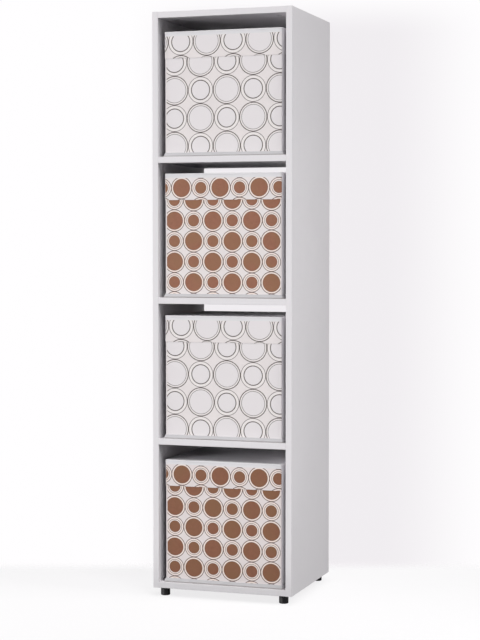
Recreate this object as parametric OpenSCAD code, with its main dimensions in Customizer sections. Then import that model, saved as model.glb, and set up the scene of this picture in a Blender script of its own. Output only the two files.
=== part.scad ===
// Free-standing storage tower: an open-backed carcass of edged boards on four
// short feet, holding four lidded boxes that slide out at the front.
// Millimetres. The front faces -Y, and the origin is on the floor, under the
// middle of the carcass.

/* [Carcass] */
// Width of the carcass, outside face to outside face
carcass_w = 375; // [345:1:480]
// Depth of the carcass, front edge to rear edge
carcass_d = 345; // [320:1:420]
// Thickness of every board
board_t = 16; // [15:1:25]
// Clear height of the bottom compartment
clear_bottom = 357; // [340:1:420]
// Clear height of the lower middle compartment
clear_lower = 348; // [340:1:420]
// Clear height of the upper middle compartment
clear_upper = 345; // [330:1:420]
// Clear height of the top compartment
clear_top = 353; // [340:1:420]
// Thickness of the edging strips on the board edges
edging_t = 1; // [0.6:0.1:2]
// Rounding of the long corners of the edging strips
edging_r = 0.8; // [0.2:0.1:1.5]
// Gap of the butt joint where two edging strips meet at a corner
strip_joint = 0.05; // [0.05:0.05:0.3]

/* [Knock-down fittings] */
// Height of the bolts and dowels above each board's underside
fitting_z = 8; // [7:0.5:9]
// Distance from the carcass's front and rear edges to the cam bolts
cam_edge = 50; // [40:1:70]
// Distance from a board's end to the middle of its cam lock
cam_inset = 34; // [30:1:40]
// Diameter of a cam lock
cam_dia = 15; // [14:0.5:20]
// Depth of the pocket that holds a cam lock
cam_depth = 12.5; // [12:0.5:14]
// Length of the cross recess in a cam lock
recess_l = 8; // [5:0.5:10]
// Width of the cross recess in a cam lock
recess_w = 1.2; // [0.8:0.1:2]
// Depth of the cross recess in a cam lock
recess_d = 2; // [1:0.5:3]
// Length of the cam bolt's thread in the side panel
bolt_grip = 11; // [8:1:12]
// Diameter of the cam bolt's thread
bolt_thread_dia = 6; // [5:0.5:7]
// Diameter of the cam bolt's shank
bolt_shank_dia = 5; // [4:0.5:5.5]
// Diameter of the cam bolt's collar
bolt_collar_dia = 7.5; // [6.5:0.5:8]
// Thickness of the cam bolt's collar
bolt_collar_t = 2; // [1:0.5:3]
// Diameter of the cam bolt's neck
bolt_neck_dia = 3; // [2.5:0.1:3.5]
// Length of the cam bolt's neck
bolt_neck_len = 7; // [4:1:9]
// Diameter of the cam bolt's head
bolt_head_dia = 6.6; // [6:0.1:7]
// Thickness of the cam bolt's head
bolt_head_t = 3; // [2:0.5:4]
// Clearance of the cam bolt's head in the cam lock's slot
cam_slot_gap = 0.3; // [0.2:0.05:0.4]
// Distance from the middle of a pair of cam bolts to each dowel's bolt
dowel_offset = 32; // [25:1:60]
// Diameter of the wooden dowels
dowel_dia = 8; // [6:1:10]
// Length of the wooden dowels
dowel_len = 35; // [28:1:38]
// Depth of the dowel holes in the side panels
dowel_grip = 12; // [8:1:13]
// Chamfer of the dowels' ends
dowel_chamfer = 1; // [0.5:0.5:2]
// Free depth of the blind holes past the ends of bolts, dowels and screws
hole_tip = 1; // [0.5:0.5:2]
// Radial clearance of bolts, dowels and cam locks in their holes
fitting_gap = 0.1; // [0.05:0.01:0.2]

/* [Feet] */
// Diameter of a foot
foot_dia = 24; // [20:1:34]
// Height of a foot
foot_h = 21; // [15:1:40]
// Distance from the carcass's side face to the middle of a foot
foot_side = 26.5; // [22:0.5:50]
// Distance from the carcass's front or rear edge to the middle of a foot
foot_edge = 20; // [17:0.5:30]
// Wall of the hollow foot
foot_wall = 2.5; // [2:0.5:4]
// Thickness of the foot's floor
foot_floor = 5; // [4.5:0.5:8]
// Rounding of the foot's lower edge
foot_round = 2; // [0.5:0.5:3]
// Width of the notch in the foot's upper rim
notch_w = 6; // [3:0.5:8]
// Height of the notch in the foot's upper rim
notch_h = 4.5; // [2:0.5:6]
// Diameter of the foot screw's shank
screw_dia = 4.5; // [4:0.5:6]
// Diameter of the foot screw's head
screw_head_dia = 9; // [8:0.5:11]
// Depth of the foot screw's head below the floor face
screw_sink = 1; // [0.5:0.5:1.5]
// Length of the foot screw in the bottom panel
screw_grip = 11; // [8:1:13]

/* [Boxes] */
// Gap from a box's foot hem to each side panel, where the box stands in the middle
box_side_gap = 10; // [5:0.5:20]
// How far the boxes, which are loose, stand to the right of the middle
box_x = 1; // [-4:0.5:4]
// Gap from a box's foot hem to the carcass's front edge
box_front_gap = 6.5; // [2:0.5:15]
// Gap from a box's foot hem to the carcass's rear edge
box_rear_gap = 29; // [5:0.5:40]
// Free height above a lid in the lowest compartment
box_head_gap = 27; // [10:1:60]
// Gap between a box and its shelf, and between a lid and its box
seat_gap = 0.2; // [0.1:0.1:0.4]
// Thickness of a box's walls
box_wall = 2; // [1.5:0.1:4]
// Rounding of a box's upright corners
box_corner_r = 2; // [1:0.5:3]
// Thickness of a box's base board
base_t = 2.5; // [1.5:0.5:5]
// Height of the flared hem round a box's foot
hem_h = 10; // [6:1:20]
// Thickness of the hem at its upper edge
hem_t = 1.2; // [0.8:0.1:2]
// Spread of the hem from its upper edge to its foot
hem_flare = 3.5; // [1:0.5:6]
// Overall height of a lid
lid_h = 68; // [40:1:120]
// Thickness of a lid's top board
lid_top_t = 4; // [2:0.5:8]
// Thickness of a lid's skirt
lid_skirt_t = 0.8; // [0.8:0.1:2]
// Overhang of the lid's top board past its skirt
lid_lip = 0.5; // [0.5:0.1:2]
// Clearance between the lid's skirt and the box's walls, each side
lid_clear = 0.3; // [0.3:0.05:0.8]

/* [Hidden] */

// Facets of round pieces, and of the small fittings with their holes
$fn = 48;
fitting_fn = 16;

// Overshoot that lets a cut break cleanly through a face
eps = 0.5;

// Boards are numbered from the floor up: bottom panel 0, shelves 1 to 3, top panel 4
clears = [clear_bottom, clear_lower, clear_upper, clear_top];
function clear_below(i) = i == 0 ? 0 : clears[i - 1] + clear_below(i - 1);
function board_z(i) = foot_h + i * board_t + clear_below(i);
top_board = len(clears);
carcass_top = board_z(top_board) + board_t;
inner_w = carcass_w - 2 * board_t;
core_d = carcass_d - 2 * edging_t;

// Places of the fittings along Y, the same in every board
cam_y = carcass_d / 2 - cam_edge;
dowel_y = cam_y - dowel_offset;
cam_r = cam_dia / 2;
bolt_end = cam_inset + bolt_head_dia / 2;
bolt_bore_r = bolt_collar_dia / 2 + fitting_gap;

// Feet
foot_r = foot_dia / 2;
foot_x = carcass_w / 2 - foot_side;
foot_y = carcass_d / 2 - foot_edge;
screw_r = screw_dia / 2;
screw_head_r = screw_head_dia / 2;
screw_cone_h = screw_head_r - screw_r;

// Boxes: the hem's foot is the widest part, then the lid, then the walls
box_w = inner_w - 2 * box_side_gap - 2 * (hem_t + hem_flare);
box_d = carcass_d - box_front_gap - box_rear_gap - 2 * (hem_t + hem_flare);
box_y = (box_front_gap - box_rear_gap) / 2;
box_h = min(clears) - box_head_gap;
walls_top = box_h - lid_top_t - seat_gap;
skirt_out = 2 * (lid_clear + lid_skirt_t);

panel_colour = [0.90, 0.90, 0.91];
edging_colour = [0.93, 0.93, 0.94];
steel_colour = [0.72, 0.73, 0.75];
beech_colour = [0.80, 0.66, 0.45];
foot_colour = [0.06, 0.06, 0.06];
white_box_colour = [0.90, 0.89, 0.87];
brown_box_colour = [0.62, 0.42, 0.32];

// ---- Carcass boards ----

// Blind holes in a side panel's inner face, for one board's bolts and dowels
module side_holes(i) {
  for (y = [-cam_y, cam_y])
    translate([0, y, board_z(i) + fitting_z])
      rotate([0, 90, 0])
        cylinder(r = bolt_thread_dia / 2 + fitting_gap, h = 2 * (bolt_grip + hole_tip), center = true);
  for (y = [-dowel_y, dowel_y])
    translate([0, y, board_z(i) + fitting_z])
      rotate([0, 90, 0])
        cylinder(r = dowel_dia / 2 + fitting_gap, h = 2 * dowel_grip, center = true);
}

// A full-height side panel; side is -1 on the left and 1 on the right
module side_panel(side) {
  color(panel_colour)
    difference() {
      translate([side * (carcass_w - board_t) / 2, 0, (foot_h + carcass_top - edging_t) / 2])
        cube([board_t, core_d, carcass_top - edging_t - foot_h], center = true);
      translate([side * inner_w / 2, 0, 0])
        for (i = [0 : top_board])
          side_holes(i, $fn = fitting_fn);
    }
}

// Holes in one end of a board: cam pockets below, bolt and dowel holes in the end
module end_holes(side) {
  for (y = [-cam_y, cam_y]) {
    translate([side * (inner_w / 2 - cam_inset), y, -eps])
      cylinder(r = cam_r + fitting_gap, h = cam_depth + eps);
    translate([side * (inner_w / 2 - cam_inset / 2 + eps / 2), y, fitting_z])
      rotate([0, 90, 0])
        cylinder(r = bolt_bore_r, h = cam_inset + eps, center = true);
  }
  for (y = [-dowel_y, dowel_y])
    translate([side * inner_w / 2, y, fitting_z])
      rotate([0, 90, 0])
        cylinder(r = dowel_dia / 2 + fitting_gap, h = 2 * (dowel_len - dowel_grip + 2 * hole_tip), center = true);
}

// A board between the side panels, numbered from the floor up
module cross_board(i) {
  translate([0, 0, board_z(i)])
    difference() {
      translate([0, 0, board_t / 2])
        cube([inner_w, core_d, board_t], center = true);
      end_holes(-1, $fn = fitting_fn);
      end_holes(1, $fn = fitting_fn);
    }
}

module shelf(i) {
  color(panel_colour)
    cross_board(i);
}

// The bottom board also takes the foot screws
module bottom_board() {
  color(panel_colour)
    difference() {
      cross_board(0);
      for (x = [-foot_x, foot_x], y = [-foot_y, foot_y])
        translate([x, y, foot_h - eps])
          cylinder(r = screw_r + fitting_gap, h = screw_grip + hole_tip + eps, $fn = fitting_fn);
    }
}

// ---- Edging strips ----

// Section of a strip: flat at the back, with two rounded corners at the front (-Y)
module strip_section() {
  r = min(edging_r, edging_t);
  intersection() {
    translate([-board_t / 2, -edging_t])
      square([board_t, edging_t]);
    union() {
      translate([-board_t / 2, r - edging_t])
        square([board_t, edging_t]);
      translate([r - board_t / 2, -edging_t])
        square([board_t - 2 * r, edging_t]);
      for (side = [-1, 1])
        translate([side * (board_t / 2 - r), r - edging_t])
          circle(r = r, $fn = fitting_fn);
    }
  }
}

// Strips on the front and rear edges of a board between the sides
module cross_edging(i) {
  color(edging_colour)
    for (turn = [0, 180])
      rotate([0, 0, turn])
        translate([0, -core_d / 2, board_z(i) + board_t / 2])
          rotate([0, 90, 0])
            linear_extrude(height = inner_w, center = true)
              strip_section();
}

// Strips on the front, rear and top edges of a side panel
module side_edging(side) {
  color(edging_colour)
    translate([side * (carcass_w - board_t) / 2, 0, 0]) {
      for (turn = [0, 180])
        rotate([0, 0, turn])
          translate([0, -core_d / 2, foot_h])
            linear_extrude(height = carcass_top - foot_h)
              strip_section();
      translate([0, 0, carcass_top - edging_t])
        rotate([-90, 0, 0])
          linear_extrude(height = core_d - 2 * strip_joint, center = true)
            strip_section();
    }
}

// ---- Knock-down fittings ----

// Every place where a fitting joins a board's end to a side panel
module at_joints(y_place) {
  for (i = [0 : top_board], side = [-1, 1], y = [-y_place, y_place])
    translate([side * inner_w / 2, y, board_z(i)])
      mirror([side < 0 ? 1 : 0, 0, 0])
        children();
}

// A cam lock: a drum in the board's underside, slotted for the bolt's head
module cam_lock() {
  translate([-cam_inset, 0, 0])
    difference() {
      cylinder(r = cam_r, h = cam_depth - fitting_gap);
      translate([-bolt_head_dia / 2 - 2 * cam_slot_gap, -bolt_head_dia / 2 - cam_slot_gap,
                 fitting_z - bolt_head_dia / 2 - cam_slot_gap])
        cube([cam_dia, bolt_head_dia + 2 * cam_slot_gap, bolt_head_dia + 2 * cam_slot_gap]);
      for (turn = [0, 90])
        rotate([0, 0, turn])
          translate([0, 0, recess_d / 2 - eps / 2])
            cube([recess_l, recess_w, recess_d + eps], center = true);
    }
}

module cam_locks() {
  color(steel_colour)
    at_joints(cam_y)
      cam_lock($fn = fitting_fn);
}

// A cam bolt: thread in the side panel, collar, shank, neck and head in the cam
module cam_bolt() {
  shank_end = bolt_end - bolt_head_t - bolt_neck_len;
  translate([0, 0, fitting_z])
    rotate([0, -90, 0]) {
      translate([0, 0, -bolt_grip])
        cylinder(r = bolt_thread_dia / 2, h = bolt_grip);
      cylinder(r = bolt_collar_dia / 2, h = bolt_collar_t);
      cylinder(r = bolt_shank_dia / 2, h = shank_end);
      cylinder(r = bolt_neck_dia / 2, h = bolt_end);
      translate([0, 0, bolt_end - bolt_head_t])
        cylinder(r = bolt_head_dia / 2, h = bolt_head_t);
    }
}

module cam_bolts() {
  color(steel_colour)
    at_joints(cam_y)
      cam_bolt($fn = fitting_fn);
}

// A beech dowel with chamfered ends
module dowel() {
  translate([dowel_grip - hole_tip - dowel_len, 0, fitting_z])
    rotate([0, 90, 0]) {
      cylinder(r1 = dowel_dia / 2 - dowel_chamfer, r2 = dowel_dia / 2, h = dowel_chamfer);
      translate([0, 0, dowel_chamfer])
        cylinder(r = dowel_dia / 2, h = dowel_len - 2 * dowel_chamfer);
      translate([0, 0, dowel_len - dowel_chamfer])
        cylinder(r1 = dowel_dia / 2, r2 = dowel_dia / 2 - dowel_chamfer, h = dowel_chamfer);
    }
}

module dowels() {
  color(beech_colour)
    at_joints(dowel_y)
      dowel($fn = fitting_fn);
}

// ---- Feet ----

// Half section of the hollow foot, revolved about Z
module foot_section() {
  difference() {
    union() {
      square([foot_r - foot_round, foot_h]);
      translate([0, foot_round])
        square([foot_r, foot_h - foot_round]);
      translate([foot_r - foot_round, foot_round])
        circle(r = foot_round, $fn = fitting_fn);
    }
    translate([-eps, foot_floor])
      square([foot_r - foot_wall + eps, foot_h]);
  }
}

// Countersunk hole through the foot's floor
module screw_seat() {
  translate([0, 0, -eps])
    cylinder(r = screw_r + fitting_gap, h = foot_floor + 2 * eps);
  translate([0, 0, -eps])
    cylinder(r = screw_head_r + fitting_gap, h = screw_sink + eps);
  translate([0, 0, screw_sink])
    cylinder(r1 = screw_head_r + fitting_gap, r2 = screw_r + fitting_gap, h = screw_cone_h);
}

// A moulded foot, open at the top, with a screw's seat and a notched rim
module foot(side_x, side_y) {
  color(foot_colour)
    translate([side_x * foot_x, side_y * foot_y, 0])
      difference() {
        rotate_extrude()
          foot_section();
        screw_seat($fn = fitting_fn);
        translate([0, -foot_r, foot_h - notch_h / 2 + eps / 2])
          cube([notch_w, foot_dia, notch_h + eps], center = true);
      }
}

// Countersunk screws through the feet into the bottom board
module foot_screws() {
  color(steel_colour)
    for (x = [-foot_x, foot_x], y = [-foot_y, foot_y])
      translate([x, y, screw_sink]) {
        cylinder(r1 = screw_head_r, r2 = screw_r, h = screw_cone_h, $fn = fitting_fn);
        cylinder(r = screw_r, h = foot_h + screw_grip - screw_sink, $fn = fitting_fn);
      }
}

// ---- Boxes ----

// Rectangle with true round corners
module rounded_rect(w, d, r) {
  square([w - 2 * r, d], center = true);
  square([w, d - 2 * r], center = true);
  for (x = [-1, 1], y = [-1, 1])
    translate([x * (w / 2 - r), y * (d / 2 - r)])
      circle(r = r);
}

// Height of the shelf face that box i stands on, with its seat gap
function box_z(i) = board_z(i) + board_t + seat_gap;

module place_box(i) {
  translate([box_x, box_y, box_z(i)])
    children();
}

// Four walls, open at the top and the bottom
module box_body(i, paper) {
  color(paper)
    place_box(i)
      translate([0, 0, base_t])
        linear_extrude(height = walls_top - seat_gap - base_t)
          difference() {
            rounded_rect(box_w, box_d, box_corner_r);
            square([box_w - 2 * box_wall, box_d - 2 * box_wall], center = true);
          }
}

// A slab whose four sides slope in from the foot to the top
module sloped_slab(w, d, h, spread) {
  intersection() {
    rotate([90, 0, 0])
      linear_extrude(height = d + 2 * spread + eps, center = true)
        polygon([[-w / 2 - spread, 0], [w / 2 + spread, 0], [w / 2, h], [-w / 2, h]]);
    rotate([90, 0, 90])
      linear_extrude(height = w + 2 * spread + eps, center = true)
        polygon([[-d / 2 - spread, 0], [d / 2 + spread, 0], [d / 2, h], [-d / 2, h]]);
  }
}

// The base board with its flared hem, which holds the walls' lower edges
module box_base(i, paper) {
  color(paper)
    place_box(i)
      difference() {
        sloped_slab(box_w + 2 * hem_t, box_d + 2 * hem_t, hem_h, hem_flare);
        translate([0, 0, base_t])
          linear_extrude(height = hem_h)
            rounded_rect(box_w, box_d, box_corner_r);
      }
}

// The lid: a top board with a small overhang, and a skirt over the walls
module box_lid(i, paper) {
  color(paper)
    place_box(i) {
      translate([0, 0, walls_top])
        linear_extrude(height = lid_top_t)
          rounded_rect(box_w + skirt_out + 2 * lid_lip, box_d + skirt_out + 2 * lid_lip,
                       box_corner_r + lid_lip);
      translate([0, 0, walls_top + lid_top_t - lid_h])
        linear_extrude(height = lid_h - lid_top_t)
          difference() {
            rounded_rect(box_w + skirt_out, box_d + skirt_out, box_corner_r + lid_clear + lid_skirt_t);
            rounded_rect(box_w + 2 * lid_clear, box_d + 2 * lid_clear, box_corner_r + lid_clear);
          }
    }
}

side_panel(-1);  // side_panel_left
side_panel(1);  // side_panel_right
shelf(4);  // top_panel
bottom_board();  // bottom_panel
shelf(3);  // upper_shelf
shelf(2);  // middle_shelf
shelf(1);  // lower_shelf
side_edging(-1);  // side_left_edging
side_edging(1);  // side_right_edging
cross_edging(4);  // top_panel_edging
cross_edging(0);  // bottom_panel_edging
cross_edging(3);  // upper_shelf_edging
cross_edging(2);  // middle_shelf_edging
cross_edging(1);  // lower_shelf_edging
cam_locks();
cam_bolts();
dowels();
foot(-1, -1);  // foot_front_left
foot(1, -1);  // foot_front_right
foot(-1, 1);  // foot_rear_left
foot(1, 1);  // foot_rear_right
foot_screws();
box_body(3, white_box_colour);  // top_box_body
box_base(3, white_box_colour);  // top_box_base
box_lid(3, white_box_colour);  // top_box_lid
box_body(2, brown_box_colour);  // upper_box_body
box_base(2, brown_box_colour);  // upper_box_base
box_lid(2, brown_box_colour);  // upper_box_lid
box_body(1, white_box_colour);  // lower_box_body
box_base(1, white_box_colour);  // lower_box_base
box_lid(1, white_box_colour);  // lower_box_lid
box_body(0, brown_box_colour);  // bottom_box_body
box_base(0, brown_box_colour);  // bottom_box_base
box_lid(0, brown_box_colour);  // bottom_box_lid
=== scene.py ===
import math

import bpy
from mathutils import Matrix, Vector


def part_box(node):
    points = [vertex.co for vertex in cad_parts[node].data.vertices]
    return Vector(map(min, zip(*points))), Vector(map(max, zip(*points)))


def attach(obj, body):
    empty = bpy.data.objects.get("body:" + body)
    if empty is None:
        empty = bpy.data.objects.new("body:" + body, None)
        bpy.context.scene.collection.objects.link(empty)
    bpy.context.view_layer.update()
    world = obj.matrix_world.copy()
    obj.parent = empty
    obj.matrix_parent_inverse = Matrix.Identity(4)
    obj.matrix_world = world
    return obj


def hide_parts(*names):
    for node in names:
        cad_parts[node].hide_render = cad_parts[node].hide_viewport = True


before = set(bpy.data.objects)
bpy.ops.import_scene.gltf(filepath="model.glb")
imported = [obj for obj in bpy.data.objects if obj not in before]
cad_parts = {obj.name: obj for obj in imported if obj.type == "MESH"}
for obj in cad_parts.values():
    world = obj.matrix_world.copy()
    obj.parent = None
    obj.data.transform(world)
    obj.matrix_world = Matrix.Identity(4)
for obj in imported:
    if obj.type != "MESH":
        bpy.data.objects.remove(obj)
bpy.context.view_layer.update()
MM = 0.001


def place(name, data):
    """A new object with this data, in the scene."""
    o = bpy.data.objects.new(name, data)
    bpy.context.scene.collection.objects.link(o)
    return o


def aim(o, direction):
    """Turns a camera or a lamp to point along direction, with its top upward."""
    o.rotation_mode = "QUATERNION"
    o.rotation_quaternion = Vector(direction).to_track_quat("-Z", "Y")


# ---------------------------------------------------------------- camera
# Solved from the straight edges in the photograph, together with the tower's sizes.
CAMERA_AT = (1.42308, -4.20634, 0.91561)
YAW = math.radians(18.795)
PITCH = math.radians(2.637)
FOCAL_PX = 1684.533
LONG_SIDE_PX = 640
SENSOR_WIDTH = 36.0

cam_data = bpy.data.cameras.new("camera")
cam_data.sensor_fit = "AUTO"
cam_data.sensor_width = SENSOR_WIDTH
cam_data.lens = SENSOR_WIDTH * FOCAL_PX / LONG_SIDE_PX
cam_data.clip_start = 0.05
cam_data.clip_end = 100.0
cam = place("camera", cam_data)
cam.location = CAMERA_AT
aim(cam, (-math.sin(YAW) * math.cos(PITCH), math.cos(YAW) * math.cos(PITCH), -math.sin(PITCH)))
bpy.context.scene.camera = cam
bpy.context.scene.view_settings.view_transform = "Standard"


# ---------------------------------------------------------------- node helpers
class Nodes:
    """Short calls for building a node tree. Apart from add and put, each returns output sockets."""

    def __init__(self, tree):
        self.tree = tree

    def add(self, kind, **props):
        n = self.tree.nodes.new(kind)
        for key, value in props.items():
            setattr(n, key, value)
        return n

    def put(self, socket, value):
        """Links an output to the socket, or sets the socket to a constant. None leaves it alone."""
        if isinstance(value, bpy.types.NodeSocket):
            self.tree.links.new(value, socket)
        elif value is not None:
            socket.default_value = value

    def filled(self, node, *values):
        """Puts the values into the node's first inputs, in order, and gives its first output."""
        for socket, value in zip(node.inputs, values):
            self.put(socket, value)
        return node.outputs[0]

    def math(self, op, a, b=None):
        return self.filled(self.add("ShaderNodeMath", operation=op), a, b)

    def product(self, first, *others):
        for value in others:
            first = self.math("MULTIPLY", first, value)
        return first

    def hypot(self, a, b):
        return self.math("SQRT", self.math("ADD", self.product(a, a), self.product(b, b)))

    def coords(self):
        """The object's coordinates, as a vector and as x, y and z."""
        vector = self.add("ShaderNodeTexCoord").outputs["Object"]
        split = self.add("ShaderNodeSeparateXYZ")
        self.put(split.inputs[0], vector)
        return vector, split.outputs[0], split.outputs[1], split.outputs[2]

    def scaled(self, vector, scale):
        return self.filled(self.add("ShaderNodeVectorMath", operation="MULTIPLY"), vector, scale)

    def noise(self, vector, scale, detail=2.0, rough=0.5, distortion=0.0):
        n = self.add("ShaderNodeTexNoise")
        self.put(n.inputs["Vector"], vector)
        n.inputs["Scale"].default_value = scale
        n.inputs["Detail"].default_value = detail
        n.inputs["Roughness"].default_value = rough
        n.inputs["Distortion"].default_value = distortion
        return n.outputs["Fac"]

    def voronoi(self, vector, scale):
        """The distance to the nearest cell's middle, and that cell's colour."""
        n = self.add("ShaderNodeTexVoronoi")
        self.put(n.inputs["Vector"], vector)
        n.inputs["Scale"].default_value = scale
        return n.outputs["Distance"], n.outputs["Color"]

    def range(self, value, lo, hi, to_lo=0.0, to_hi=1.0, smooth=False):
        n = self.add("ShaderNodeMapRange", clamp=True)
        n.interpolation_type = "SMOOTHSTEP" if smooth else "LINEAR"
        return self.filled(n, value, lo, hi, to_lo, to_hi)

    def mix(self, share, a, b):
        """Colour a, with a share of colour b over it. The node's sockets for colours come after
        those for its other kinds of data."""
        n = self.add("ShaderNodeMix", data_type="RGBA")
        self.put(n.inputs[0], share)
        self.put(n.inputs[6], a)
        self.put(n.inputs[7], b)
        return n.outputs[2]

    def bump(self, height, strength, distance, normal=None):
        n = self.add("ShaderNodeBump")
        n.inputs["Strength"].default_value = strength
        n.inputs["Distance"].default_value = distance
        self.put(n.inputs["Height"], height)
        self.put(n.inputs["Normal"], normal)
        return n.outputs[0]

    def surface(self, kind, colour=None, strength=None):
        """A plain shader or background of one colour."""
        n = self.add(kind)
        if colour is not None:
            n.inputs["Color"].default_value = colour
        if strength is not None:
            n.inputs["Strength"].default_value = strength
        return n.outputs[0]


def empty_tree(owner):
    """Node calls for a material or a world, whose nodes are cleared first."""
    owner.use_nodes = True
    owner.node_tree.nodes.clear()
    return Nodes(owner.node_tree)


def principled(name):
    """A new material, the calls for its nodes, and its one Principled shader."""
    m = bpy.data.materials.new(name)
    k = empty_tree(m)
    shader = k.add("ShaderNodeBsdfPrincipled")
    k.put(k.add("ShaderNodeOutputMaterial").inputs[0], shader.outputs[0])
    return m, k, shader


def linear(value):
    """One display value, 0 to 255, made linear."""
    share = value / 255
    return share / 12.92 if share <= 0.04045 else ((share + 0.055) / 1.055) ** 2.4


def rgb(r, g, b):
    """A colour given by its display values, made linear."""
    return linear(r), linear(g), linear(b), 1.0


def tinted(colour, red, green, blue):
    """The colour with each channel multiplied by its own share."""
    return colour[0] * red, colour[1] * green, colour[2] * blue, 1.0


def darker(colour, share):
    return tinted(colour, share, share, share)


# ---------------------------------------------------------------- board, edging and fittings
PANEL = rgb(226, 223, 226)
PANEL_2 = rgb(223, 220, 223)
CHIP = rgb(176, 142, 98)
CHIP_DARK = rgb(122, 92, 58)
# Where the glue line beside the edging strips starts and where it is full, from the tower's middle
GLUE_LINE = (171.25 * MM, 171.45 * MM)
# The pockets in the boards' undersides: their distance from the tower's two middle planes,
# and the radius and depth within which the cut chipboard shows
POCKET_X = 137.5 * MM
POCKET_Y = 122.5 * MM
POCKET_R = 7.65 * MM
POCKET_DEPTH = 12.8 * MM
# Thickness of the melamine film, above which the chipboard starts
FILM = 0.05 * MM
# Height up to which the feet are scuffed
SCUFF_H = 3.5 * MM


def melamine(name, underside=None):
    """Melamine-faced board. underside is the height of a cross board's underside, whose pockets
    show chipboard."""
    m, k, s = principled(name)
    vec, x, y, z = k.coords()
    cloud = k.noise(vec, 4.0, 3.0, 0.6)
    colour = k.mix(k.range(cloud, 0.35, 0.65), PANEL, PANEL_2)
    speck = k.noise(vec, 2600.0, 2.0, 0.6)
    colour = k.mix(k.range(speck, 0.62, 0.80, 0.0, 0.10), colour, rgb(190, 188, 190))
    glue = k.product(k.range(k.math("ABSOLUTE", y), *GLUE_LINE), 0.35)
    colour = k.mix(glue, colour, rgb(150, 146, 140))
    if underside is not None:
        dx = k.math("SUBTRACT", k.math("ABSOLUTE", x), POCKET_X)
        dy = k.math("SUBTRACT", k.math("ABSOLUTE", y), POCKET_Y)
        pocket = k.product(
            k.math("LESS_THAN", k.hypot(dx, dy), POCKET_R),
            k.math("LESS_THAN", z, underside + POCKET_DEPTH),
            k.math("GREATER_THAN", z, underside + FILM),
        )
        _, chips = k.voronoi(k.scaled(vec, (1.0, 1.0, 2.2)), 620.0)
        grey = k.filled(k.add("ShaderNodeSeparateColor"), chips)
        colour = k.mix(pocket, colour, k.mix(grey, CHIP, CHIP_DARK))
    k.put(s.inputs["Base Color"], colour)
    k.put(s.inputs["Roughness"], k.range(k.noise(vec, 60.0, 3.0), 0.3, 0.7, 0.58, 0.68))
    grain = k.noise(k.scaled(vec, (1.0, 1.0, 0.25)), 1500.0, 4.0, 0.65)
    k.put(s.inputs["Normal"], k.bump(grain, 0.35, 0.06 * MM))
    s.inputs["Specular IOR Level"].default_value = 0.06
    return m


def edging_band(name):
    """Plastic edging strip, with faint upright streaks."""
    m, k, s = principled(name)
    vec = k.coords()[0]
    streak = k.noise(k.scaled(vec, (1.0, 1.0, 0.02)), 1800.0, 3.0, 0.6)
    colour = k.mix(k.range(streak, 0.3, 0.7), rgb(228, 225, 228), rgb(224, 221, 224))
    k.put(s.inputs["Base Color"], colour)
    k.put(s.inputs["Roughness"], k.range(k.noise(vec, 90.0, 2.0), 0.3, 0.7, 0.44, 0.54))
    k.put(s.inputs["Normal"], k.bump(k.noise(vec, 700.0, 3.0), 0.25, 0.05 * MM))
    s.inputs["Specular IOR Level"].default_value = 0.14
    return m


def black_plastic(name):
    """Moulded plastic of the feet, with dust, and scuffed next to the floor."""
    m, k, s = principled(name)
    vec, _, _, z = k.coords()
    cloud = k.noise(vec, 120.0, 4.0, 0.6)
    dust = k.product(k.range(k.noise(vec, 900.0, 4.0, 0.7), 0.58, 0.80), 0.12)
    colour = k.mix(dust, k.mix(cloud, rgb(17, 15, 18), rgb(24, 22, 25)), rgb(96, 94, 92))
    patches = k.range(k.noise(vec, 300.0, 3.0), 0.45, 0.65, 0.0, 0.45)
    scuff = k.product(k.range(z, 0.0, SCUFF_H, 1.0, 0.0), patches)
    colour = k.mix(scuff, colour, rgb(78, 76, 74))
    k.put(s.inputs["Base Color"], colour)
    k.put(s.inputs["Roughness"], k.range(cloud, 0.3, 0.7, 0.34, 0.50))
    pebble, _ = k.voronoi(vec, 2200.0)
    k.put(s.inputs["Normal"], k.bump(pebble, 0.25, 0.08 * MM))
    s.inputs["Specular IOR Level"].default_value = 0.5
    return m


def zinc(name, tint):
    """Zinc with a faint spangle and the marks of turning."""
    m, k, s = principled(name)
    vec = k.coords()[0]
    spangle, _ = k.voronoi(vec, 900.0)
    k.put(s.inputs["Base Color"], k.mix(k.range(spangle, 0.0, 0.6), tint, darker(tint, 0.82)))
    s.inputs["Metallic"].default_value = 1.0
    turned = k.noise(k.scaled(vec, (1.0, 1.0, 9.0)), 900.0, 3.0, 0.6)
    k.put(s.inputs["Roughness"], k.range(turned, 0.3, 0.7, 0.26, 0.42))
    k.put(s.inputs["Normal"], k.bump(turned, 0.2, 0.04 * MM))
    return m


def beech(name):
    """Beech with its grain along x, as the dowels lie."""
    m, k, s = principled(name)
    vec = k.coords()[0]
    rings = k.noise(k.scaled(vec, (0.12, 1.0, 1.0)), 700.0, 5.0, 0.6, 0.4)
    pores = k.noise(k.scaled(vec, (0.05, 1.0, 1.0)), 3200.0, 2.0)
    colour = k.mix(k.range(rings, 0.3, 0.7), rgb(214, 178, 132), rgb(190, 148, 100))
    colour = k.mix(k.range(pores, 0.6, 0.75, 0.0, 0.5), colour, rgb(138, 98, 62))
    k.put(s.inputs["Base Color"], colour)
    s.inputs["Roughness"].default_value = 0.6
    k.put(s.inputs["Normal"], k.bump(rings, 0.3, 0.1 * MM))
    return m


# ---------------------------------------------------------------- paper
PAPER = rgb(233, 226, 226)
# A darker copy of PAPER, painted shade for the box nearest the floor
SHADED_PAPER = rgb(230, 221, 221)
PLAIN = rgb(228, 226, 229)
PLAIN_2 = rgb(224, 222, 225)
# Share of the paper's own brightness in the boxes' lining and in the shade of the hems
LINING_TONE = 0.93
HEM_TONE = 0.70
# Height of the painted contact shadow at a hem's foot, and the height over which it fades
FOOT_SHADOW_H = 2.0 * MM
FOOT_SHADOW_FADE = 0.6 * MM


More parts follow.
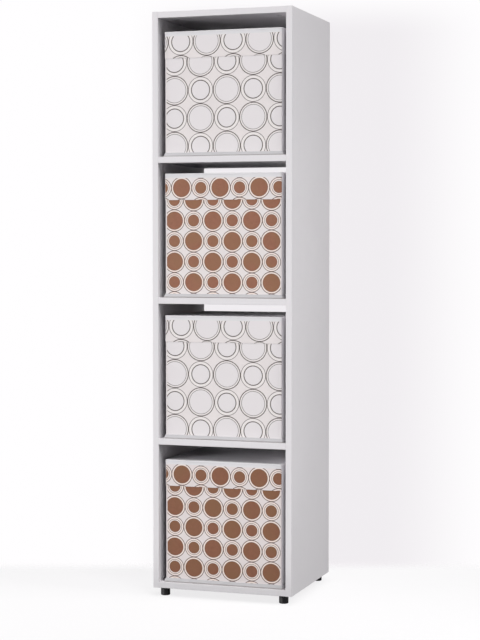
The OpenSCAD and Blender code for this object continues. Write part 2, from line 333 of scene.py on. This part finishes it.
def paper_coat(k, shader, colour, vec, ink=None):
    """Paper over greyboard: fibres, and a soft, uneven sheen that is smoother where there is ink."""
    fibre = k.noise(k.scaled(vec, (1.0, 1.0, 0.6)), 2200.0, 4.0, 0.7)
    colour = k.mix(k.range(fibre, 0.55, 0.85, 0.0, 0.10), colour, rgb(204, 196, 188))
    k.put(shader.inputs["Base Color"], colour)
    rough = k.range(k.noise(vec, 45.0, 3.0), 0.3, 0.7, 0.68, 0.80)
    if ink is not None:
        rough = k.math("SUBTRACT", rough, k.product(ink, 0.14))
    k.put(shader.inputs["Roughness"], rough)
    waves = k.bump(k.noise(vec, 26.0, 2.0, 0.4), 0.5, 0.3 * MM)
    k.put(shader.inputs["Normal"], k.bump(fibre, 0.25, 0.05 * MM, waves))
    shader.inputs["Specular IOR Level"].default_value = 0.08


def plain_paper(name, tone=1.0, foot_z=None):
    """Unprinted paper. foot_z is the height of a hem's foot, above which a dark band is painted as the
    contact shadow there.
    """
    m, k, s = principled(name)
    vec, _, _, z = k.coords()
    cloud = k.range(k.noise(vec, 14.0, 3.0, 0.6), 0.35, 0.65)
    colour = k.mix(cloud, darker(PLAIN, tone), darker(PLAIN_2, tone))
    if foot_z is not None:
        # painted shade: a dark band just above the hem's foot stands in for the contact shadow on the
        # shelf
        foot_shadow = k.range(z, foot_z + FOOT_SHADOW_H, foot_z + FOOT_SHADOW_H + FOOT_SHADOW_FADE, 0.55, 0.0)
        colour = k.mix(foot_shadow, colour, rgb(120, 112, 108))
    paper_coat(k, s, colour, vec)
    return m


# ---------------------------------------------------------------- print
LINE = rgb(66, 56, 52)
RIM = rgb(84, 56, 44)
CORE = rgb(230, 225, 227)
SHEEN = rgb(241, 236, 234)
BROWN_LINE = rgb(76, 47, 36)
HALO = rgb(241, 226, 218)
# Each mark in the order it is printed: its form, its radius and the width of its line in mm, its
# colour, and how much it covers. A disc is bare paper of another shade, and a dot is mottled brown.
WHITE_MARKS = {
    "big": [
        ("disc", 36.2, 0.0, SHEEN, 0.5),
        ("disc", 31.0, 0.0, CORE, 1.0),
        ("ring", 36.2, 2.2, LINE, 0.95),
        ("ring", 31.0, 1.4, LINE, 0.8),
    ],
    "small": [
        ("disc", 33.0, 0.0, SHEEN, 0.55),
        ("disc", 24.6, 0.0, CORE, 1.0),
        ("ring", 33.0, 1.5, LINE, 0.85),
        ("ring", 24.6, 2.3, LINE, 0.95),
    ],
}
BROWN_MARKS = {
    "big": [
        ("disc", 27.7, 0.0, HALO, 0.9),
        ("ring", 27.7, 1.8, BROWN_LINE, 0.92),
        ("dot", 23.2, 0.0, None, 1.0),
        ("ring", 22.7, 1.0, RIM, 0.5),
    ],
    "small": [
        ("disc", 24.0, 0.0, HALO, 0.65),
        ("ring", 24.0, 1.6, BROWN_LINE, 0.9),
        ("ring", 18.6, 1.3, BROWN_LINE, 0.8),
        ("dot", 15.2, 0.0, None, 1.0),
        ("ring", 14.7, 0.9, RIM, 0.5),
    ],
}
# A coordinate in mm that is past every box, for a print that runs on to the edge of its face
NO_END = 9000.0
# In mm: the distance between neighbours across and up, the middle of one big mark, from the tower's
# middle plane and from the shelf's face, and the ends of the print at the left and the right
BODY_PRINT = {
    "white": {"pitch": (70.65, 71.0), "at": (11.0, 168.0), "ends": (-152.0, NO_END), **WHITE_MARKS},
    "brown": {"pitch": (52.32, 52.5), "at": (-131.3, 197.4), "ends": (-152.0, 154.8), **BROWN_MARKS},
}
LID_PRINT = {
    "white": {"pitch": (70.6, 71.0), "at": (-42.3, 291.3), "ends": (-NO_END, NO_END), **WHITE_MARKS},
    "brown": {"pitch": (52.3, 52.5), "at": (-111.3, 280.7), "ends": (-NO_END, NO_END), **BROWN_MARKS},
}
# How far the lid's print stops below its top, and the height over which the printed ground fades
LID_BLANK = 12.0 * MM
TOP_FADE = 1.0 * MM
# Half the width over which the edge of a line and of a dot or disc is soft, in mm
LINE_SOFT = 0.12
DOT_SOFT = 0.15
# How far the printed edges waver
WAVER = 0.35 * MM


def dot_brown(k, vec, brown):
    """The dots' ink: mottled, and drifting from a warm to an olive brown across the box."""
    drift = k.range(k.noise(vec, 17.0, 1.0, 0.5), 0.35, 0.65)
    mottled = k.range(k.noise(vec, 110.0, 4.0, 0.7), 0.3, 0.7)
    warm = k.mix(mottled, brown, darker(brown, 0.86))
    return k.mix(k.product(drift, 0.7), warm, tinted(brown, 0.88, 1.02, 0.90))


def ring_print(name, spec, shelf_z, top_z, ground, brown):
    """Paper printed up to top_z with a chequered lattice of big and small marks."""
    m, k, s = principled(name)
    vec, x, _, z = k.coords()
    cloud = k.range(k.noise(vec, 14.0, 3.0, 0.6), 0.35, 0.65)
    below_top = k.range(z, top_z, top_z + TOP_FADE, 1.0, 0.0)
    colour = k.mix(below_top, k.mix(cloud, PLAIN, PLAIN_2), k.mix(cloud, ground, darker(ground, 0.963)))
    step_x, step_z = (size * MM for size in spec["pitch"])
    start_x, start_z = (size * MM for size in spec["at"])
    left, right = (size * MM for size in spec["ends"])
    across = k.math("DIVIDE", k.math("SUBTRACT", x, start_x), step_x)
    up = k.math("DIVIDE", k.math("SUBTRACT", z, shelf_z + start_z), step_z)
    # along the two diagonals of the lattice, big marks are at whole numbers and small ones halfway
    u = k.product(k.math("ADD", across, up), 0.5)
    v = k.product(k.math("SUBTRACT", across, up), 0.5)
    grain = k.noise(vec, 1300.0, 3.0, 0.6)
    waver = k.product(k.math("SUBTRACT", grain, 0.5), WAVER)

    def radius(shift):
        """Distance from the middle of the nearest mark of one size."""
        du = k.math("SUBTRACT", u, shift)
        dv = k.math("SUBTRACT", v, shift)
        du = k.math("SUBTRACT", du, k.math("ROUND", du))
        dv = k.math("SUBTRACT", dv, k.math("ROUND", dv))
        dx = k.product(k.math("ADD", du, dv), step_x)
        dz = k.product(k.math("SUBTRACT", du, dv), step_z)
        return k.math("ADD", k.hypot(dx, dz), waver)

    dot_ink = dot_brown(k, vec, brown) if brown else None
    ink_total = 0.0
    inside = k.product(
        k.math("GREATER_THAN", x, left),
        k.math("LESS_THAN", x, right),
        k.math("LESS_THAN", z, top_z),
    )
    for shift, marks in ((0.0, spec["big"]), (0.5, spec["small"])):
        r = radius(shift)
        for form, size, width, ink, cover in marks:
            if form == "ring":
                off = k.math("ABSOLUTE", k.math("SUBTRACT", r, size * MM))
                mask = k.range(off, (width / 2 - LINE_SOFT) * MM, (width / 2 + LINE_SOFT) * MM, 1.0, 0.0)
            else:
                mask = k.range(r, (size - DOT_SOFT) * MM, (size + DOT_SOFT) * MM, 1.0, 0.0)
            mask = k.product(mask, inside, cover)
            colour = k.mix(mask, colour, dot_ink if form == "dot" else ink)
            if form != "disc":
                ink_total = k.math("MAXIMUM", ink_total, mask)
    paper_coat(k, s, colour, vec, ink_total)
    return m


# ---------------------------------------------------------------- the carcass's materials
mat_board = melamine("melamine")
mat_edging = edging_band("edging_band")
mat_foot = black_plastic("black_plastic")
mat_steel = zinc("zinc_plate", rgb(206, 208, 212))
mat_cast = zinc("zinc_casting", rgb(186, 187, 190))
mat_beech = beech("beech")
mat_paper = plain_paper("plain_paper")
mat_lining = plain_paper("lining_paper", LINING_TONE)

BOARDS = ("top_panel", "upper_shelf", "middle_shelf", "lower_shelf", "bottom_panel")
FITTINGS = {
    "cam_locks": mat_cast,
    "cam_bolts": mat_steel,
    "foot_screws": mat_steel,
    "dowels": mat_beech,
}


def dress(node, material):
    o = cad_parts[node]
    if not o.material_slots:
        o.data.materials.append(material)
    for s in o.material_slots:
        s.material = material


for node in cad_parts:
    if node in BOARDS:
        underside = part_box(node)[0].z
        dress(node, melamine("melamine_" + node, underside))
    elif node in FITTINGS:
        dress(node, FITTINGS[node])
    elif node.startswith("side_panel"):
        dress(node, mat_board)
    elif node.endswith("edging"):
        dress(node, mat_edging)
    elif node.startswith("foot_"):
        dress(node, mat_foot)


# ---------------------------------------------------------------- box meshes
# Points on each straight side and round each corner of the boxes' outlines
SIDE_POINTS = 12
HEM_SIDE_POINTS = 10
CORNER_POINTS = 5
# A wall's ripple: its share of the bow, how fast it turns up the wall and per metre along it,
# and how far the seed shifts it
RIPPLE_SHARE = 0.25
RIPPLE_UP = 9.0
RIPPLE_ROUND = 37.0
RIPPLE_SHIFT = 2.1
# Only points this near to a wall's plane move with its bow
BOW_EDGE = 4.0 * MM
# Angle above which an edge stays sharp
SHARP = math.radians(28)


def loop_points(w, d, r, cy, per_side=SIDE_POINTS):
    """Points round a rectangle with corners of radius r, anticlockwise from the front left."""
    points = []
    hw, hd = w / 2, d / 2
    sides = [
        ((-hw + r, -hd), (hw - r, -hd)),
        ((hw, -hd + r), (hw, hd - r)),
        ((hw - r, hd), (-hw + r, hd)),
        ((-hw, hd - r), (-hw, -hd + r)),
    ]
    corners = [(hw - r, -hd + r, -90), (hw - r, hd - r, 0), (-hw + r, hd - r, 90), (-hw + r, -hd + r, 180)]
    for (a, b), (corner_x, corner_y, start) in zip(sides, corners):
        for i in range(per_side):
            t = i / per_side
            points.append((a[0] + (b[0] - a[0]) * t, a[1] + (b[1] - a[1]) * t + cy))
        for i in range(CORNER_POINTS):
            angle = math.radians(start + 90 * i / CORNER_POINTS)
            points.append((corner_x + r * math.cos(angle), corner_y + r * math.sin(angle) + cy))
    return points


def level(points, z):
    """A ring of the points at one height."""
    return [(x, y, z) for x, y in points]


def rolled(outline, inset, z, radius, degrees):
    """Rings over a rounded edge, whose arc has its middle at inset and z. outline gives the
    points at an inset, and the angles run from 0, outward, to 90, upward."""
    angles = [math.radians(a) for a in degrees]
    return [level(outline(inset - radius * math.cos(a)), z + radius * math.sin(a)) for a in angles]


def bowed(points, z, foot, top, amount, seed, w, d, cy):
    """A ring with the slight outward bow and unevenness of a covered board wall from foot to top."""
    up = (z - foot) / (top - foot)
    lift = amount * math.sin(math.pi * up)
    ring = []
    for x, y in points:
        along_x = max(0.0, 1 - (2 * x / w) ** 2)
        along_y = max(0.0, 1 - (2 * (y - cy) / d) ** 2)
        ripple = RIPPLE_SHARE * amount * math.sin(RIPPLE_UP * up + seed)
        ripple *= math.sin(RIPPLE_ROUND * (x + y) + RIPPLE_SHIFT * seed)
        out_x = lift * along_y + ripple if abs(x) > w / 2 - BOW_EDGE else 0.0
        out_y = lift * along_x + ripple if abs(y - cy) > d / 2 - BOW_EDGE else 0.0
        ring.append((x + (out_x if x > 0 else -out_x), y + (out_y if y > cy else -out_y), z))
    return ring


def add_mesh(name, rings, caps, cx, body, node, materials, face_material):
    """Skins a stack of rings with the same count of points. cx is the middle that the rings'
    x is measured from, and caps lists the rings to fill."""
    verts, faces = [], []
    n = len(rings[0])
    for ring in rings:
        verts.extend((x + cx, y, z) for x, y, z in ring)
    for i in range(len(rings) - 1):
        for j in range(n):
            a, b = i * n + j, i * n + (j + 1) % n
            faces.append((a, b, b + n, a + n))
    for c in caps:
        faces.append(tuple(range(c * n, c * n + n)) if c else tuple(reversed(range(n))))
    me = bpy.data.meshes.new(name)
    me.from_pydata(verts, [], faces)
    me.validate()
    me.update()
    for m in materials:
        me.materials.append(m)
    middle = Vector((cx, 0.0, 0.0))
    for p in me.polygons:
        p.material_index = face_material(p.center - middle, p.normal)
        p.use_smooth = True
    o = place(name, me)
    o.modifiers.new("edges", "EDGE_SPLIT").split_angle = SHARP
    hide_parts(node)
    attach(o, body)


# Sizes of the boxes, as in the CAD model
WALL_T = 2.0 * MM
BASE_T = 2.5 * MM
SEAT_GAP = 0.2 * MM
HEM_FLARE = 3.5 * MM
LID_LIP = 0.5 * MM
LID_SKIRT_T = 0.8 * MM
LID_TOP_T = 4.0 * MM
# Corner radii: the walls, the hem, the lid's rim, and the skirt's outside and inside
WALL_CORNER = 2.0 * MM
HEM_CORNER = 3.4 * MM
LID_CORNER = 3.4 * MM
SKIRT_CORNER = 3.6 * MM
SKIRT_INNER_CORNER = 4.0 * MM
LEAST_CORNER = 0.3 * MM
# Where rings lie, as shares of the height of the walls, of the hem and of the skirt
WALL_LEVELS = [0.0, 0.02] + [i / 14 for i in range(1, 14)] + [0.985]
CREASE_AT = 0.30
HEM_LEVELS = (0.28, CREASE_AT, 0.33, 0.5, 0.7, 0.88, 0.95)
SKIRT_LEVELS = [0.01, 0.025] + [i / 8 for i in range(1, 8)] + [0.99]
# How far the walls and the skirt bow, and what sets the skirt's unevenness off from the walls'
WALL_BOW = 0.16 * MM
SKIRT_BOW = 0.2 * MM
SKIRT_SEED = 1.3
# The hem: the depth of its crease, its belly, and how far its base board is wider than the walls
CREASE = 0.22 * MM
BELLY = 0.35 * MM
TUCK = 0.04 * MM
# The lid's slightly raised top: the height of its crown, and the insets and drops of its rings
CROWN_H = 0.1 * MM
CROWN = ((18.0 * MM, 0.02 * MM), (90.0 * MM, 0.0))
# Paper: how far it is turned in over the rim, how proud it is there, and the step at its end
TURN_IN = 18.0 * MM
TURN_PROUD = 0.1 * MM
TURN_STEP = 0.15 * MM
# A face that points further to the front than this counts as the printed front
FRONT = -0.6
# Places of the materials in the walls' and the lid's lists
OUTSIDE, PRINTED, LINED = 0, 1, 2
QUARTER = (0.0, 22.5, 45.0, 67.5, 90.0)
FROM_BELOW = (-90.0, -60.0, -30.0, 0.0)


def walls(name, seed, lo, hi, printed):
    """Up the outside, over the rounded rim, past the turned-in paper and down the lining."""
    w, d = hi.x - lo.x, hi.y - lo.y
    cx, cy = (lo.x + hi.x) / 2, (lo.y + hi.y) / 2
    foot, top = lo.z, hi.z
    rim = 0.55 * MM
    turned = WALL_T + TURN_PROUD
    # a little past the middle of the wall's thickness
    past_middle = 1.2 * MM

    def outline(inset):
        return loop_points(w - 2 * inset, d - 2 * inset, WALL_CORNER - min(inset, past_middle), cy)

    def face(c, n):
        if n.y < FRONT and c.y < lo.y + 1.0 * MM:
            return PRINTED
        inner = abs(c.x) < w / 2 - past_middle and abs(c.y - cy) < d / 2 - past_middle
        return LINED if inner and c.z < top - TURN_IN - 0.05 * MM else OUTSIDE

    rings = []
    for t in WALL_LEVELS:
        z = foot + (top - foot) * t
        rings.append(bowed(outline(0.0), z, foot, top, WALL_BOW, seed, w, d, cy))
    rings += rolled(outline, rim, top - rim, rim, QUARTER[1:])
    rings += rolled(outline, turned - rim, top - rim, rim, [90 + a for a in QUARTER])
    rings.append(level(outline(turned), top - TURN_IN))
    rings.append(level(outline(WALL_T), top - TURN_IN - TURN_STEP))
    rings.append(level(outline(WALL_T), foot))
    rings.append(rings[0])
    materials = [mat_paper, printed, mat_lining]
    add_mesh(name + "_walls", rings, [], cx, name + "_box", name + "_box_body", materials, face)


def hem(name, lo, hi, body_lo, body_hi):
    """The base: a flared hem with a folded foot and a rolled upper edge, and the floor inside."""
    w, d = body_hi.x - body_lo.x, body_hi.y - body_lo.y
    cx, cy = (body_lo.x + body_hi.x) / 2, (body_lo.y + body_hi.y) / 2
    foot, top = lo.z, hi.z
    fold = 0.8 * MM
    edge = 1.15 * MM / 2

    def outline(inset):
        outer_w, outer_d = hi.x - lo.x - 2 * inset, hi.y - lo.y - 2 * inset
        return loop_points(outer_w, outer_d, HEM_CORNER, cy, HEM_SIDE_POINTS)

    def face(c, n):
        return 1 if n.z > 0.9 and abs(c.x) < w / 2 else 0

    rings = [level(outline(2 * fold), foot)]
    rings += rolled(outline, fold, foot + fold, fold, FROM_BELOW)
    for t in HEM_LEVELS:
        crease = CREASE if t == CREASE_AT else 0.0
        belly = BELLY * math.sin(math.pi * t)
        rings.append(level(outline(HEM_FLARE * t + crease - belly), foot + (top - foot) * t))
    rings += rolled(outline, HEM_FLARE + edge, top - edge, edge, (0.0, 45.0, 90.0, 135.0, 180.0))
    board = loop_points(w + TUCK, d + TUCK, WALL_CORNER, cy, HEM_SIDE_POINTS)
    rings.append(level(board, foot + BASE_T))
    materials = [plain_paper(name + "_hem_paper", HEM_TONE, foot), mat_lining]
    caps, body = [0, len(rings) - 1], name + "_box"
    add_mesh(name + "_hem", rings, caps, cx, body, name + "_box_base", materials, face)


def lid(name, seed, lo, hi, cx, cy, printed):
    """Down the inside of the skirt, round its foot, up the outside, over the rim and across the top."""
    w, d = hi.x - lo.x, hi.y - lo.y
    foot, top = lo.z, hi.z
    ceiling = top - LID_TOP_T
    half_skirt = LID_SKIRT_T / 2
    under = 0.8 * LID_LIP
    edge = 1.1 * MM

    def outline(inset, r=LID_CORNER):
        return loop_points(w - 2 * inset, d - 2 * inset, max(r - inset, LEAST_CORNER), cy)

    def inner_outline(inset):
        return outline(inset, SKIRT_INNER_CORNER)

    def face(c, n):
        if n.y < FRONT and c.y < lo.y + 1.4 * MM and c.z > foot:
            return PRINTED
        depth = LID_LIP + 0.7 * LID_SKIRT_T
        inner = abs(c.x) < w / 2 - depth and abs(c.y - cy) < d / 2 - depth
        return LINED if inner and c.z < ceiling + 0.1 * MM else OUTSIDE

    rings = [level(inner_outline(LID_LIP + LID_SKIRT_T), ceiling)]
    for t in (0.5, 0.0):
        z = foot + half_skirt + (ceiling - foot) * t
        rings.append(level(inner_outline(LID_LIP + LID_SKIRT_T), z))
    foot_arc = (225.0, 270.0, 315.0)
    rings += rolled(inner_outline, LID_LIP + half_skirt, foot + half_skirt, half_skirt, foot_arc)
    skirt = outline(LID_LIP, SKIRT_CORNER)
    skirt_w, skirt_d = w - 2 * LID_LIP, d - 2 * LID_LIP
    for t in SKIRT_LEVELS:
        z = foot + (ceiling - foot) * t
        rings.append(bowed(skirt, z, foot, ceiling, SKIRT_BOW, seed + SKIRT_SEED, skirt_w, skirt_d, cy))
    rings.append(level(outline(0.9 * LID_LIP), ceiling))
    rings += rolled(outline, under, ceiling + under, under, FROM_BELOW)
    rings += rolled(outline, edge, top - edge - CROWN_H, edge, QUARTER)
    for inset, drop in CROWN:
        rings.append(level(outline(inset), top - drop))
    materials = [mat_paper, printed, mat_lining]
    caps = [0, len(rings) - 1]
    add_mesh(name + "_cap", rings, caps, cx, name + "_lid", name + "_box_lid", materials, face)


def box_pieces(name, kind, seed, ground, brown):
    """One box: its walls, its base with the hem, and its lid."""
    lo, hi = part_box(name + "_box_body")
    base_lo, base_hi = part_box(name + "_box_base")
    lid_lo, lid_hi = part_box(name + "_box_lid")
    shelf_z = base_lo.z - SEAT_GAP
    lid_print_top = lid_hi.z - LID_BLANK
    body_print = ring_print(name + "_box_print", BODY_PRINT[kind], shelf_z, NO_END * MM, ground, brown)
    lid_print = ring_print(name + "_lid_print", LID_PRINT[kind], shelf_z, lid_print_top, ground, brown)
    walls(name, seed, lo, hi, body_print)
    hem(name, base_lo, base_hi, lo, hi)
    lid(name, seed, lid_lo, lid_hi, (lo.x + hi.x) / 2, (lo.y + hi.y) / 2, lid_print)


# Each box's name, print, seed of its unevenness, paper, and the brown of its dots
BOXES = (
    ("top", "white", 0.4, PAPER, None),
    ("upper", "brown", 1.9, PAPER, rgb(155, 107, 87)),
    ("lower", "white", 3.1, PAPER, None),
    # the bottom box's paper and brown are darker copies of the upper brown box's, painted shade for the
    # lower light near the floor
    ("bottom", "brown", 4.6, SHADED_PAPER, rgb(142, 97, 77)),
)
for box in BOXES:
    box_pieces(*box)


# ---------------------------------------------------------------- stage and light
WHITE = (1.0, 0.99, 1.0, 1.0)
SHADED_WHITE = (0.875, 0.850, 0.875, 1.0)
FLOOR_HALF = 7.0
# The floor's own grey as the camera sees it and as the light does, and the glow that makes it pale
FLOOR_SEEN = (0.16, 0.16, 0.16, 1.0)
FLOOR_DIM = (0.04, 0.04, 0.04, 1.0)
FLOOR_GLOW = 0.81
# The floor lies this far below the feet, so that they don't share a plane
FLOOR_DROP = 0.4 * MM
# Distances from the tower's middle over which the floor fades into the backdrop
FLOOR_FADE = (0.55, 1.7)
# Distances behind the tower, as the camera looks, over which the visible floor ends
FLOOR_END = (0.22, 0.37)
# The backdrop's shade: where it starts and ends, in degrees to the right of the camera's
# direction, and the height at which it ends, as the sine of the elevation
SHADE_LEFT = (-3.9, -0.9)
SHADE_RIGHT = (4.7, 8.8)
SHADE_TOP = (0.120, 0.147)
# Strength of the even light from all round
AMBIENT = 0.004
# How broad the soft suns are, in degrees
SOFT = 22.0


def stage_floor():
    """A pale floor with the tower's shadow. It throws little light back, so that undersides stay dark."""
    r = FLOOR_HALF
    me = bpy.data.meshes.new("floor")
    me.from_pydata([(-r, -r, 0), (r, -r, 0), (r, r, 0), (-r, r, 0)], [], [(0, 1, 2, 3)])
    o = place("floor", me)
    o.location.z = -FLOOR_DROP
    m = bpy.data.materials.new("floor")
    k = empty_tree(m)
    _, x, y, _ = k.coords()
    behind = k.math("SUBTRACT", k.product(y, math.cos(YAW)), k.product(x, math.sin(YAW)))
    seen = k.add("ShaderNodeLightPath").outputs["Is Camera Ray"]
    ended = k.product(k.range(behind, *FLOOR_END, smooth=True), seen)
    faded = k.range(k.hypot(x, y), *FLOOR_FADE, smooth=True)
    dim = k.surface("ShaderNodeBsdfDiffuse", FLOOR_DIM)
    pale = k.filled(
        k.add("ShaderNodeAddShader"),
        k.surface("ShaderNodeBsdfDiffuse", FLOOR_SEEN),
        k.surface("ShaderNodeEmission", WHITE, FLOOR_GLOW),
    )
    floor = k.filled(k.add("ShaderNodeMixShader"), seen, dim, pale)
    clear = k.surface("ShaderNodeBsdfTransparent")
    blend = k.filled(k.add("ShaderNodeMixShader"), k.math("MAXIMUM", ended, faded), floor, clear)
    k.put(k.add("ShaderNodeOutputMaterial").inputs[0], blend)
    me.materials.append(m)


def world_light():
    """White all round, with the faint broad shade on the backdrop behind the tower and to its right."""
    w = bpy.data.worlds.new("studio")
    bpy.context.scene.world = w
    k = empty_tree(w)
    path = k.add("ShaderNodeLightPath")
    seen = k.math("MAXIMUM", path.outputs["Is Camera Ray"], path.outputs["Is Glossy Ray"])
    seen = k.math("MAXIMUM", seen, path.outputs["Is Transmission Ray"])
    way = k.add("ShaderNodeSeparateXYZ")
    k.put(way.inputs[0], k.add("ShaderNodeTexCoord").outputs["Generated"])
    turn = k.math("ADD", k.math("ARCTAN2", way.outputs[0], way.outputs[1]), YAW)
    shade = k.product(
        k.range(turn, *(math.radians(a) for a in SHADE_LEFT), smooth=True),
        k.range(turn, *(math.radians(a) for a in SHADE_RIGHT), 1.0, 0.0, smooth=True),
        k.range(way.outputs[2], *SHADE_TOP, 1.0, 0.0, smooth=True),
    )
    back = k.filled(k.add("ShaderNodeBackground"), k.mix(shade, WHITE, SHADED_WHITE), 1.0)
    fill = k.surface("ShaderNodeBackground", (1.0, 1.0, 1.0, 1.0), AMBIENT)
    light = k.filled(k.add("ShaderNodeMixShader"), seen, fill, back)
    k.put(k.add("ShaderNodeOutputWorld").inputs[0], light)


def panel_lamp(name, at, target, width, height, power):
    """An upright rectangular lamp near the tower, whose light falls off across it."""
    d = bpy.data.lights.new(name, "AREA")
    d.shape = "RECTANGLE"
    d.size = width
    d.size_y = height
    d.energy = power
    o = place(name, d)
    o.location = at
    aim(o, Vector(target) - Vector(at))
    o.visible_camera = False


def sun(name, azimuth, elevation, strength, width):
    """A parallel light. In degrees, azimuth and elevation say where it comes from, as seen from
    the tower, azimuth being 0 in front and positive to the right, and width how broad it is."""
    d = bpy.data.lights.new(name, "SUN")
    d.energy = strength
    d.angle = math.radians(width)
    a, e = math.radians(azimuth), math.radians(elevation)
    aim(place(name, d), (-math.sin(a) * math.cos(e), math.cos(a) * math.cos(e), -math.sin(e)))


stage_floor()
world_light()
sun("low_front_left", -40.0, 3.0, 1.93, SOFT)
sun("low_left", -70.0, 3.0, 1.02, SOFT)
sun("high_right", 45.0, 52.0, 1.18, SOFT)
sun("right", 92.0, 37.0, 1.48, SOFT)
sun("overhead", 0.0, 90.0, 0.7, 2.0)
sun("from_behind", 180.0, 0.0, 1.7, 1.0)
panel_lamp("front_left", (-1.8, -1.6, 1.1), (0.0, 0.0, 0.7), 0.8, 1.6, 12.4)
panel_lamp("front_right", (1.0, -0.45, 0.76), (0.19, -0.45, 0.76), 0.4, 2.2, 4.3)
